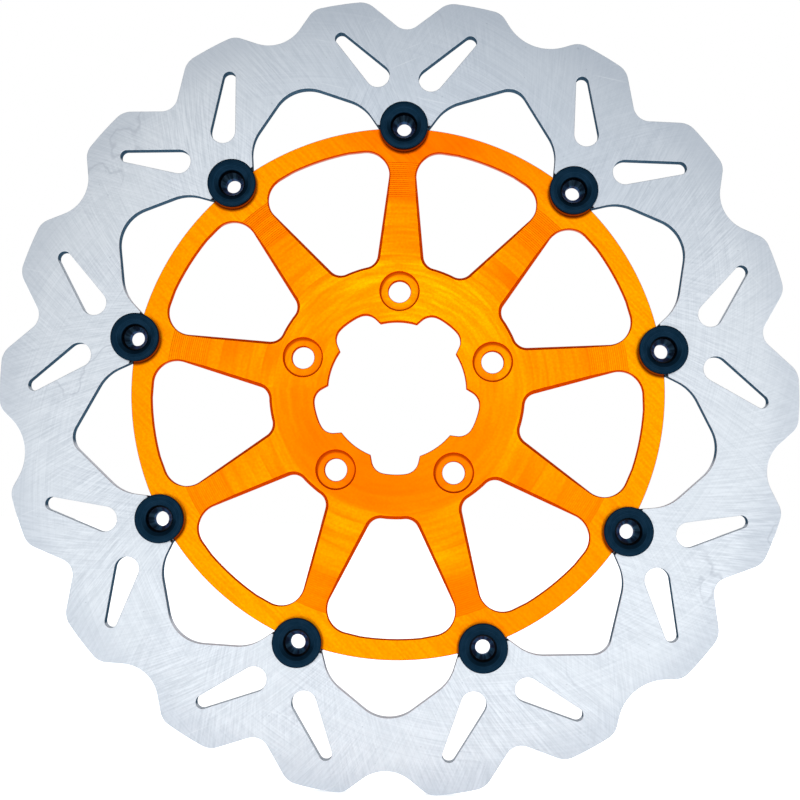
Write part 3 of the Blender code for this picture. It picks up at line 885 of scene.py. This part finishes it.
def milled_orange():
    """The carrier's front and back: satin orange with the marks of each milling pass, and painted
    sheen, shade and shadows.
    """
    material, tree = principled("milled_orange", {"Metallic": 1.0})
    x, y, height = plan_place(tree)
    radius, direction = polar_place(x, y)
    ramp = add(tree, "ShaderNodeValToRGB", {"Fac": over(radius, RADIUS_SPAN)})
    stops = ramp.color_ramp.elements
    while len(stops) < len(CARRIER_FACE):
        stops.new(1.0)
    for stop, (start, colour) in zip(stops, CARRIER_FACE):
        stop.position = start / RADIUS_SPAN
        stop.color = (*colour, 1)
    on_rim = mapped(radius, RIM_FLAT_RADIUS - RIM_BLEND, RIM_FLAT_RADIUS + RIM_BLEND)
    past_knee = mapped(radius, KNEE_RADIUS - KNEE_BLEND, KNEE_RADIUS + KNEE_BLEND)
    on_hub = mapped(radius, *HUB_BLEND, 1.0, 0.0)
    turn = tone_and_sheen_turn(radius, direction, on_rim, minus(past_knee, on_rim), on_hub)
    ridges = (KNEE_RADIUS, RIM_FLAT_RADIUS, RIDGE_PITCH, RIDGE_SLOPE_SHARE)
    terraces = (HUB_FLAT_RADIUS, KNEE_RADIUS, TERRACE_PITCH, TERRACE_SLOPE_SHARE)
    passes = noise(radius, direction, (520, 2.4), 3.0, 0.55)
    feed = noise(plus(x, y), minus(x, y), (620, 40), 3.0, 0.6)
    marks = plus(times(feed, on_rim), times(passes, minus(1.0, on_rim)))
    marks_show = mapped(radius, *HUB_MARKS_BLEND, 0.10, 0.34)
    cloud = noise(x, y, (38, 38), 2.0, 0.5, 0.8)
    fine = noise(x, y, (1000, 1000), 2.0, 0.6)
    on_floor = counterbore_floor(height, on_hub)
    # Painted shadow round each flange on the carrier, wider on its lower side
    boss_shadow_share = button_shade(radius, direction, BOSS_SHADOW, BOSS_SHADOW_DROP)
    layers = (
        # Random terrace tones, with painted sheen towards yellow and painted shade towards red
        (mapped(turn, 0.0, 0.5), TONE_AND_SHEEN_YELLOW),
        (mapped(turn, 0.0, -0.5), TONE_AND_SHADE_RED),
        # Painted shade on the slopes of the ridges and the terraces
        (times(stair_shade(radius, *ridges), 0.6), RIDGE_SLOPE_SHADE),
        (times(stair_shade(radius, *terraces), 0.3), TERRACE_SLOPE_SHADE),
        (times(mapped(marks, 0.35, 0.65), marks_show), MARK_RED),
        (mapped(cloud, 0.35, 0.70, 0.0, 0.22), CLOUD_YELLOW),
        (mapped(fine, 0.35, 0.65, 0.0, 0.28), GRAIN_AND_RECESS_SHADE_RED),
        # Painted shade on the counterbore floors, and painted shadow in their corners
        (times(on_floor, 0.3), GRAIN_AND_RECESS_SHADE_RED),
        (times(counterbore_shade(radius, direction), on_floor), COUNTERBORE_SHADOW_RED),
        (times(boss_shadow_share, 0.95), BOSS_SHADOW_RED),
    )
    colour = ramp.outputs[0]
    for share, tint in layers:
        colour = mixed(share, colour, tint)
    roughness = mapped(marks, 0.3, 0.7, 0.30, 0.40)
    depth = mapped(radius, *HUB_MARKS_BLEND, 0.35, 1.0)
    return finish_metal(material, colour, roughness, times(marks, depth), 0.00002, 0.25)


# The carrier's walls, darker than the faces as painted shade, with a pale strip of painted light low
# on those that face down outside the knee
WALL_DARK = (0.46, 0.032, 0.000)
WALL_LIGHT = (0.60, 0.056, 0.000)
WALL_PAINTED_LIGHT = (0.58, 0.30, 0.24)
WALL_BOSS_SHADOW = (0.060, 0.005, 0.000)
LIT_STRIP_START = RIM_FRONT - 0.0010
LIT_STRIP_FULL = RIM_FRONT - 0.0020


def orange_wall():
    """The carrier's walls and sloped edges: deep red-orange, darker than the faces as painted shade,
    with fine cutter marks.
    """
    material, tree = principled("orange_wall", {"Specular IOR Level": 0.0})
    x, y, height = plan_place(tree)
    radius, direction = polar_place(x, y)
    lines = noise(direction, height, (300, 1500), 3.0, 0.6)
    colour = mixed(mapped(lines, 0.3, 0.7), WALL_DARK, WALL_LIGHT)
    facing_down = mapped(upward(tree), -0.75, -0.90)
    near_back = mapped(height, LIT_STRIP_START, LIT_STRIP_FULL)
    past_knee = maths("GREATER_THAN", radius, KNEE_RADIUS)
    # Painted light low on the walls that face down outside the knee
    painted_light = times(times(facing_down, near_back), past_knee)
    colour = mixed(times(painted_light, 0.8), colour, WALL_PAINTED_LIGHT)
    # Painted shadow under the flanges on the walls too
    boss_shadow_share = button_shade(radius, direction, BOSS_SHADOW, BOSS_SHADOW_DROP)
    colour = mixed(boss_shadow_share, colour, WALL_BOSS_SHADOW)
    roughness = mapped(lines, 0.3, 0.7, 0.6, 0.5)
    return finish_metal(material, colour, roughness, lines, 0.00002, 0.3)


# The small turned pieces. The button alone has a recess, whose wall and cone have their own colours:
# painted shade on the wall and painted highlights on the cone.
BLACK_BUTTON = {
    "dark": (0.002, 0.013, 0.028),
    "light": (0.007, 0.025, 0.050),
    "edge": (0.09, 0.18, 0.29),
    "rough": (0.28, 0.40),
    "metallic": 0.9,
    "cone_highlight": (0.10, 0.17, 0.24),
}
WASHER_STEEL = {
    "dark": (0.42, 0.43, 0.44),
    "light": (0.62, 0.63, 0.64),
    "rough": (0.24, 0.34),
    "metallic": 1.0,
}
SPRING_STEEL = {
    "dark": (0.09, 0.09, 0.10),
    "light": (0.17, 0.17, 0.18),
    "rough": (0.34, 0.46),
    "metallic": 0.9,
}
POCKET_SHADE = (0.001, 0.004, 0.010)
POCKET_BLEND = 0.0003
CONE_BLEND = 0.0005


def turned_metal(name, dark, light, rough, metallic, edge=(1, 1, 1), cone_highlight=None):
    """A small turned piece's metal: fine rings about the piece's own axis, and faint clouds; on the
    button, painted shade in the recess and painted highlights on the cone.
    """
    material, tree = principled(name, {"Metallic": metallic, "Specular Tint": (*edge, 1)})
    x, y, height = plan_place(tree)
    radius, direction = polar_place(x, y)
    rings = noise(radius, height, (5200, 5200), 2.0, 0.5)
    cloud = noise(x, y, (260, 260), 3.0, 0.6)
    worn = plus(times(rings, 0.6), times(cloud, 0.4))
    colour = mixed(mapped(worn, 0.35, 0.65), dark, light)
    if cone_highlight is not None:
        # Painted shade on the wall of the recess
        in_pocket = mapped(radius, DISH_INNER_RADIUS + POCKET_BLEND, DISH_INNER_RADIUS)
        colour = mixed(in_pocket, colour, POCKET_SHADE)
        # Painted highlights in streaks on the cone
        past_wall = mapped(height, POCKET_FLOOR + CONE_BLEND, POCKET_FLOOR)
        highlight_streaks = noise(direction, height, (2.2, 90), 1.0, 0.4)
        highlight_streaks = mapped(highlight_streaks, 0.40, 0.60, 0.35, 1.0)
        colour = mixed(times(past_wall, highlight_streaks), colour, cone_highlight)
    roughness = mapped(worn, 0.35, 0.65, *rough)
    return finish_metal(material, colour, roughness, rings, 0.000015, 0.3)


# ---- Pieces ----


def build_ring(face, wall):
    """The steel friction ring, with the edges of all its outlines just broken."""
    outer = ring_edge(ring_outer_sector, SHALLOW_VALLEY_ROUND, BROAD_VALLEY_ROUND)
    inner = ring_edge(ring_inner_sector, DEEP_SCALLOP_ROUND, SCALLOP_APEX_ROUND)
    outlines = [outer, inner]
    for k in range(BUTTON_COUNT):
        outlines += [slot_outline(slot, k * BUTTON_PITCH) for slot in SLOTS]
    mesh = plate_mesh("brake_ring_fine", outlines, bevelled_layers(RING_BEVEL, RING_BACK, RING_FRONT))
    paint(mesh, face, wall, RING_FACE_TIP)
    stand_up("brake_ring_fine", mesh, "brake_ring", "brake_ring")


def stairs(start_radius, start_height, end_radius, end_height, count, slope_share):
    """A stepped descent: each step is a flat tread and then a short slope."""
    points = []
    run = end_radius - start_radius
    fall = end_height - start_height
    for i in range(count):
        tread_end = start_radius + run * (i + 1 - slope_share) / count
        slope_end = start_radius + run * (i + 1) / count
        points.append((tread_end, start_height + fall * i / count))
        points.append((slope_end, start_height + fall * (i + 1) / count))
    return points


def carrier_blank():
    """The turned blank: broad terraces from the hub outwards, then fine ridges, then the flat rim."""
    hub_end = (HUB_FLAT_RADIUS, HUB_FRONT)
    knee = (KNEE_RADIUS, KNEE_HEIGHT)
    rim_start = (RIM_FLAT_RADIUS, RIM_FRONT)
    terraces = stairs(*hub_end, *knee, TERRACE_COUNT, TERRACE_SLOPE_SHARE)
    ridges = stairs(*knee, *rim_start, RIDGE_COUNT, RIDGE_SLOPE_SHARE)
    profile = [
        (BLANK_BORE, CARRIER_BACK),
        (CARRIER_RADIUS + CUTTER_MARGIN, CARRIER_BACK),
        (CARRIER_RADIUS + CUTTER_MARGIN, RIM_FRONT),
    ]
    profile += reversed(terraces + ridges)
    profile += [hub_end, (BLANK_BORE, HUB_FRONT)]
    return turned_mesh("carrier_blank", profile, sides_for(CARRIER_RADIUS), first_side=0.5)


def button_centres():
    """The plan centres of the buttons."""
    return [polar(BUTTON_CIRCLE, k * BUTTON_PITCH) for k in range(BUTTON_COUNT)]


def bosses():
    """The raised bosses under the flanges, each with a round fillet at its foot."""
    fillet = BOSS_FOOT_RADIUS - BOSS_TOP_RADIUS
    centre = Vector((BOSS_FOOT_RADIUS, RIM_FRONT + fillet))
    foot = arc(centre, fillet, 190, 270)
    profile = [(0, RIM_FRONT - CUTTER_MARGIN), (foot[0].x, RIM_FRONT - CUTTER_MARGIN)]
    profile += foot + [(BOSS_TOP_RADIUS, HUB_FRONT), (0, HUB_FRONT)]
    sides = sides_for(BOSS_TOP_RADIUS)
    return turned_mesh("bosses", profile, sides, button_centres(), first_side=0.3)


def rim_cutter():
    """What is turned off outside the carrier's edge, with a chamfer along its front and back."""
    far = BUTTON_CIRCLE + 2 * BOSS_FOOT_RADIUS
    skim = RIM_CHAMFER / 10
    profile = (
        (CARRIER_RADIUS - RIM_CHAMFER - CUTTER_MARGIN, CARRIER_BACK - CUTTER_MARGIN),
        (far, CARRIER_BACK - CUTTER_MARGIN),
        (far, HUB_FRONT + CUTTER_MARGIN),
        (CARRIER_RADIUS - RIM_CHAMFER - skim, HUB_FRONT + CUTTER_MARGIN),
        (CARRIER_RADIUS - RIM_CHAMFER - skim, RIM_FRONT + skim),
        (CARRIER_RADIUS, RIM_FRONT - RIM_CHAMFER),
        (CARRIER_RADIUS, CARRIER_BACK + RIM_CHAMFER),
    )
    return turned_mesh("rim_cutter", profile, sides_for(CARRIER_RADIUS))


def window_stacks():
    """The windows: a broken back edge, straight walls, then the edge slope that opens outwards."""
    top = HUB_FRONT + CUTTER_MARGIN
    growth = (top - EDGE_SLOPE_FOOT) * math.tan(math.radians(EDGE_SLOPE))
    plain = window_outline()
    levels = (
        (moved_out(plain, BACK_CHAMFER + CUTTER_MARGIN), CARRIER_BACK - CUTTER_MARGIN),
        (plain, CARRIER_BACK + BACK_CHAMFER),
        (plain, EDGE_SLOPE_FOOT),
        (moved_out(plain, growth), top),
    )
    stacks = []
    for k in range(BUTTON_COUNT):
        stack = []
        for outline, height in levels:
            stack.append(([turned(point, k * BUTTON_PITCH) for point in outline], height))
        stacks.append(stack)
    return stacks


def bore_stack():
    """The central bore with its front and back edges chamfered."""
    plain = bore_outline()
    opened = moved_out(plain, BORE_CHAMFER + CUTTER_MARGIN)
    return [
        (opened, CARRIER_BACK - CUTTER_MARGIN),
        (plain, CARRIER_BACK + BORE_CHAMFER),
        (plain, HUB_FRONT - BORE_CHAMFER),
        (opened, HUB_FRONT + CUTTER_MARGIN),
    ]


def bolt_cutter():
    """The bolt holes and their counterbores, with a fillet round each floor and broken edges."""
    floor = HUB_FRONT - COUNTERBORE_DEPTH
    fillet_centre = Vector((COUNTERBORE_RADIUS - COUNTERBORE_FILLET, floor + COUNTERBORE_FILLET))
    fillet = arc(fillet_centre, COUNTERBORE_FILLET, 178, 92)
    opening = BOLT_CHAMFER + CUTTER_MARGIN
    profile = [
        (0, CARRIER_BACK - CUTTER_MARGIN),
        (BOLT_HOLE_RADIUS + opening, CARRIER_BACK - CUTTER_MARGIN),
        (BOLT_HOLE_RADIUS, CARRIER_BACK + BOLT_CHAMFER),
        (BOLT_HOLE_RADIUS, floor - BOLT_CHAMFER),
        (BOLT_HOLE_RADIUS + BOLT_CHAMFER, floor),
    ]
    profile += fillet
    profile += [
        (COUNTERBORE_RADIUS, HUB_FRONT - BOLT_CHAMFER),
        (COUNTERBORE_RADIUS + opening, HUB_FRONT + CUTTER_MARGIN),
        (0, HUB_FRONT + CUTTER_MARGIN),
    ]
    centres = [polar(BOLT_CIRCLE, k * BOLT_PITCH) for k in range(BOLT_COUNT)]
    return turned_mesh("bolt_cutter", profile, sides_for(COUNTERBORE_RADIUS), centres)


def seat_cutter():
    """The half-round button seats in the carrier's rim."""
    profile = (
        (0, CARRIER_BACK - CUTTER_MARGIN),
        (SEAT_RADIUS, CARRIER_BACK - CUTTER_MARGIN),
        (SEAT_RADIUS, HUB_FRONT + CUTTER_MARGIN),
        (0, HUB_FRONT + CUTTER_MARGIN),
    )
    return turned_mesh("seat_cutter", profile, sides_for(SEAT_RADIUS), button_centres())


def build_carrier(face, wall):
    """The orange carrier."""
    steps = [
        ("UNION", bosses()),
        ("DIFFERENCE", rim_cutter()),
        ("DIFFERENCE", stacked_mesh("openings", window_stacks() + [bore_stack()])),
        ("DIFFERENCE", bolt_cutter()),
        ("DIFFERENCE", seat_cutter()),
    ]
    mesh = combined(carrier_blank(), steps)
    paint(mesh, face, wall, CARRIER_FACE_TIP)
    stand_up("carrier_fine", mesh, "carrier", "carrier")


def bobbin_mesh():
    """The drive button: a dished flange with soft lips, a shank and a grooved tail."""
    clip_front = -clip_low.y
    clip_back = -clip_high.y
    groove_radius = SHANK_RADIUS - GROOVE_DEPTH
    corners = (
        (DISH_OUTER_RADIUS, BUTTON_FRONT, DISH_EDGE_ROUND),
        (FLANGE_RADIUS, BUTTON_FRONT, FLANGE_FRONT_ROUND),
        (FLANGE_RADIUS, FLANGE_UNDERSIDE, FLANGE_BACK_ROUND),
        (SHANK_RADIUS, FLANGE_UNDERSIDE, 0),
        (SHANK_RADIUS, clip_front + CLEARANCE, 0),
        (groove_radius, clip_front + CLEARANCE, 0),
        (groove_radius, clip_back - CLEARANCE, 0),
        (SHANK_RADIUS, clip_back - CLEARANCE, 0),
        (SHANK_RADIUS, BUTTON_BACK, TAIL_ROUND),
        (BACK_SINK_RADIUS, BUTTON_BACK, BACK_SINK_ROUND),
        (BUTTON_BORE, BUTTON_BORE_FOOT, 0),
        (BUTTON_BORE, BUTTON_BORE_TOP, DISH_ROUND),
        (POCKET_RADIUS, POCKET_FLOOR, DISH_ROUND),
        (DISH_INNER_RADIUS, BUTTON_FRONT - DISH_DEPTH, DISH_ROUND),
    )
    profile = rounded([(Vector((radius, height)), lip) for radius, height, lip in corners])
    return turned_mesh("bobbin_fine", profile, sides_for(FLANGE_RADIUS))


def wave_washer_mesh():
    """The sprung washer, a flat ring bent into even waves."""
    back = -wave_high.y
    wave_height = (wave_high.y - wave_low.y) - WAVE_METAL
    bm = bmesh.new()
    rings = []
    for i in range(WAVE_SIDES):
        angle = 360 * i / WAVE_SIDES
        low = back + wave_height * (1 + math.cos(math.radians(WAVE_COUNT * angle))) / 2
        high = low + WAVE_METAL
        inner = polar(SEAT_RADIUS, angle)
        outer = polar(WASHER_RADIUS, angle)
        section = ((*inner, low), (*outer, low), (*outer, high), (*inner, high))
        rings.append([bm.verts.new(corner) for corner in section])
    for i in range(WAVE_SIDES):
        for j in range(4):
            bm.faces.new((rings[i - 1][j - 1], rings[i - 1][j], rings[i][j], rings[i][j - 1]))
    return finished_mesh("wave_washer_fine", bm)


def flat_washer_mesh():
    """The plain washer, with its stamped edges rounded."""
    front = -flat_low.y
    back = -flat_high.y
    corners = ((SEAT_RADIUS, back), (WASHER_RADIUS, back), (WASHER_RADIUS, front), (SEAT_RADIUS, front))
    profile = rounded([(Vector(corner), WASHER_ROUND) for corner in corners])
    return turned_mesh("flat_washer_fine", profile, sides_for(WASHER_RADIUS))


def circlip_mesh():
    """The retaining ring: open on one side, with a holed lug at each end."""
    front = -clip_low.y
    back = -clip_high.y
    inner_radius = SHANK_RADIUS - GROOVE_DEPTH + CLEARANCE
    start = 180 + CIRCLIP_GAP / 2
    end = 540 - CIRCLIP_GAP / 2
    centre = Vector((0, 0))
    lug_circle = CIRCLIP_RADIUS - LUG_RADIUS + LUG_STAND_OUT
    lug_lean = math.degrees(LUG_RADIUS / lug_circle)
    outline = arc(centre, CIRCLIP_RADIUS, start + lug_lean, end - lug_lean)
    outline += arc(polar(lug_circle, end), LUG_RADIUS, end - 60, end + 150)
    outline += arc(centre, inner_radius, end - 2, start + 2)
    outline += arc(polar(lug_circle, start), LUG_RADIUS, start + 210, start + 420)
    holes = [arc(polar(lug_circle, at), LUG_HOLE_RADIUS, 0, 345) for at in (end, start)]
    return plate_mesh("circlip_fine", [outline, *holes], bevelled_layers(CIRCLIP_BEVEL, back, front))


def build_buttons(black, washer_steel, spring_steel):
    """Every drive button with its washers and retaining ring, each about its own axis."""
    kinds = (
        ("bobbin", bobbin_mesh(), black, "anodised_black"),
        ("wave_washer", wave_washer_mesh(), spring_steel, "spring_steel"),
        ("flat_washer", flat_washer_mesh(), washer_steel, "washer_steel"),
        ("circlip", circlip_mesh(), spring_steel, "spring_steel"),
    )
    for kind, mesh, material, slot in kinds:
        mesh.materials.append(material)
    for k, centre in enumerate(button_centres()):
        turn = Matrix.Rotation(-math.radians(k * BUTTON_PITCH), 4, "Z")
        place = Matrix.Translation((*centre, 0)) @ turn
        for kind, mesh, material, slot in kinds:
            node = f"{kind}_{k + 1}"
            stand_up(f"{node}_fine", mesh, f"button_{k + 1}", node, place)


# ---- Studio ----

# The surrounding light, by how squarely its direction faces the disc: from edge-on to face-on.
# In front it also falls off upwards and to the left, down to the least share.
EDGE_ON = 0.10
EDGE_ON_LEVEL = 0.50
FACE_ON = 0.80
FACE_ON_LEVEL = 1.10
RIGHT_GAIN = 0.30
LEAST_SHARE = 0.55
FLOOR_HALF = 6.0
FLOOR_GREY = 0.92
FLOOR_GLOW = 0.80

# The soft box that puts the sheen on the metal
SOFT_BOX_PLACE = (-0.05, -1.45, 0.27)
SOFT_BOX_TARGET = (0, 0, 0.04)
SOFT_BOX_SIZE = 0.16
SOFT_BOX_POWER = 0.8

# Turned from facing along +Y: yaw about Z, then pitch upwards, then roll about the line of sight
CAMERA_PLACE = Vector((0.01404, -0.5124, -0.04199))
CAMERA_YAW = 1.437
CAMERA_PITCH = 4.318
CAMERA_ROLL = 1.555
CAMERA_LENS = 63
CAMERA_SENSOR = 36


def studio_world():
    """Soft light all round, strongest face-on. The camera itself sees plain white."""
    world = bpy.data.worlds.new("studio")
    bpy.context.scene.world = world
    world.use_nodes = True
    tree = world.node_tree
    tree.nodes.clear()
    toward = add(tree, "ShaderNodeTexCoord").outputs["Generated"]
    x, y, z = add(tree, "ShaderNodeSeparateXYZ", {"Vector": toward}).outputs
    facing = maths("ABSOLUTE", y)
    level = mapped(facing, EDGE_ON, FACE_ON, EDGE_ON_LEVEL, FACE_ON_LEVEL)
    lean = minus(times(x, RIGHT_GAIN), z)
    gradient = times(lean, maths("LESS_THAN", y, 0.0))
    gradient = maths("MAXIMUM", plus(gradient, 1.0), LEAST_SHARE)
    level = times(level, gradient)
    seen = add(tree, "ShaderNodeLightPath").outputs["Is Camera Ray"]
    shown = add(tree, "ShaderNodeMix", {"Factor": seen, 2: level, 3: 1.0}, data_type="FLOAT")
    light = {"Color": (1, 1, 1, 1), "Strength": shown.outputs[0]}
    shader = add(tree, "ShaderNodeBackground", light)
    output = add(tree, "ShaderNodeOutputWorld")
    tree.links.new(shader.outputs[0], output.inputs["Surface"])


def studio_floor():
    """A plain pale floor that the disc stands on."""
    bm = bmesh.new()
    corners = ((-1, -1), (1, -1), (1, 1), (-1, 1))
    bm.faces.new([bm.verts.new((x * FLOOR_HALF, y * FLOOR_HALF, cad_low.z)) for x, y in corners])
    mesh = bpy.data.meshes.new("floor")
    bm.to_mesh(mesh)
    bm.free()
    floor = add_object("floor", mesh)
    finish = {
        "Base Color": (FLOOR_GREY, FLOOR_GREY, FLOOR_GREY, 1),
        "Roughness": 0.9,
        "Specular IOR Level": 0.0,
        "Emission Color": (1, 1, 1, 1),
        "Emission Strength": FLOOR_GLOW,
    }
    mesh.materials.append(principled("floor", finish)[0])


def soft_light(name, place, target, size, power):
    """A square soft box that faces a target."""
    light = bpy.data.lights.new(name, "AREA")
    light.size = size
    light.energy = power
    item = add_object(name, light)
    item.location = place
    item.rotation_mode = "QUATERNION"
    item.rotation_quaternion = (Vector(target) - Vector(place)).to_track_quat("-Z", "Y")


def camera():
    """The camera, nearly square on to the disc's outer face."""
    data = bpy.data.cameras.new("camera")
    data.lens = CAMERA_LENS
    data.sensor_width = CAMERA_SENSOR
    data.clip_start = 0.01
    data.clip_end = 50
    item = add_object("camera", data)
    turn = Matrix.Rotation(math.radians(CAMERA_YAW), 4, "Z")
    tilt = Matrix.Rotation(math.radians(90 + CAMERA_PITCH), 4, "X")
    roll = Matrix.Rotation(math.radians(CAMERA_ROLL), 4, "Z")
    item.matrix_world = Matrix.Translation(CAMERA_PLACE) @ turn @ tilt @ roll
    bpy.context.scene.camera = item


def build():
    """The whole scene."""
    build_ring(ground_steel(), cut_steel())
    build_carrier(milled_orange(), orange_wall())
    black = turned_metal("black_button", **BLACK_BUTTON)
    washer_steel = turned_metal("washer_steel", **WASHER_STEEL)
    spring_steel = turned_metal("spring_steel", **SPRING_STEEL)
    build_buttons(black, washer_steel, spring_steel)
    studio_world()
    studio_floor()
    soft_light("sheen", SOFT_BOX_PLACE, SOFT_BOX_TARGET, SOFT_BOX_SIZE, SOFT_BOX_POWER)
    bpy.context.scene.view_settings.view_transform = "Standard"
    camera()


build()
